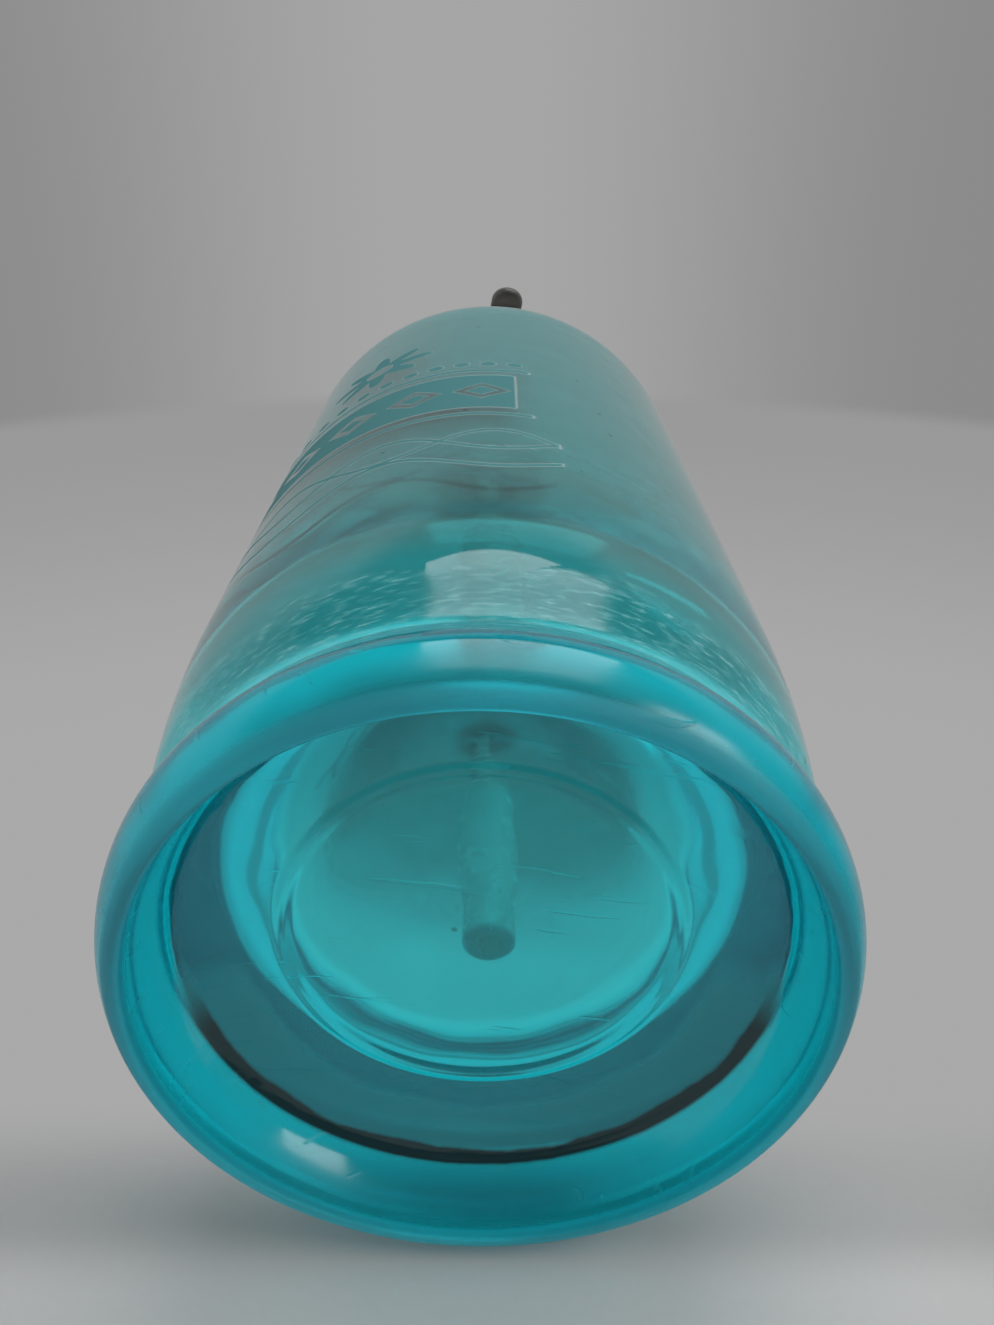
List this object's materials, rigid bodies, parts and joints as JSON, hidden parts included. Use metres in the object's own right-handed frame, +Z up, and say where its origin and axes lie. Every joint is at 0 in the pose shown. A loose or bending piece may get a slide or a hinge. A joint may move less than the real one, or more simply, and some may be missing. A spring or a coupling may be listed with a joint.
{
  "type": "soda siphon",
  "caption": "Thick glass soda siphon bottle with a metal valve head, sprung hand lever and downturned spout.",
  "frame": {"origin": "centre of the plane that the foot's resting ring stands on, on the bottle's axis", "axes": "+Z up the bottle's axis, -Y towards the spout, +Y towards the lever's thumb end, +X to the side"},
  "size_m": [0.104, 0.1193, 0.3262],
  "materials": {
    "bottle_glass": "clear blue-green glass, scuffed",
    "tube_glass": "clear glass",
    "rubber": "matt black rubber",
    "pewter": "cast pewter alloy gone dark with age, satin",
    "brass": "dull machined brass",
    "steel": "dull steel"
  },
  "bodies": {
    "siphon": {"bottle": "bottle_glass", "dip_tube": "tube_glass", "lip_gasket": "rubber", "tube_gasket": "rubber", "collar_half_left": "pewter", "collar_half_right": "pewter", "head_body": "pewter", "valve_seat": "brass", "plunger_packing": "rubber", "packing_gland": "brass", "valve_spring": "steel", "top_cap": "pewter", "cap_gasket": "rubber", "lever_pin": "steel", "pin_screw": "steel", "spout": "pewter", "spout_gasket": "rubber", "spout_nut": "pewter", "nozzle_tip": "pewter"},
    "plunger_unit": {"plunger": "brass", "valve_washer": "rubber", "washer_cup": "brass", "washer_screw": "brass"},
    "lever_unit": {"lever": "pewter"}
  },
  "joints": [
    {"name": "lever_press", "type": "hinge", "parent": "siphon", "child": "lever_unit", "pos_m": [0, 0.014, 0.30799], "axis": [-1, 0, 0], "range_deg": [0, 15], "stiffness_Nm_per_rad": 1.2, "springref_deg": -17.19},
    {"name": "plunger_lift", "type": "slide", "parent": "siphon", "child": "plunger_unit", "axis": [0, 0, 1], "range_m": [0, 0.0037], "deforming": ["valve_spring"]}
  ],
  "couplings": [
    {"joint": "plunger_lift", "follows": "lever_press", "m_per_rad": 0.01385}
  ]
}
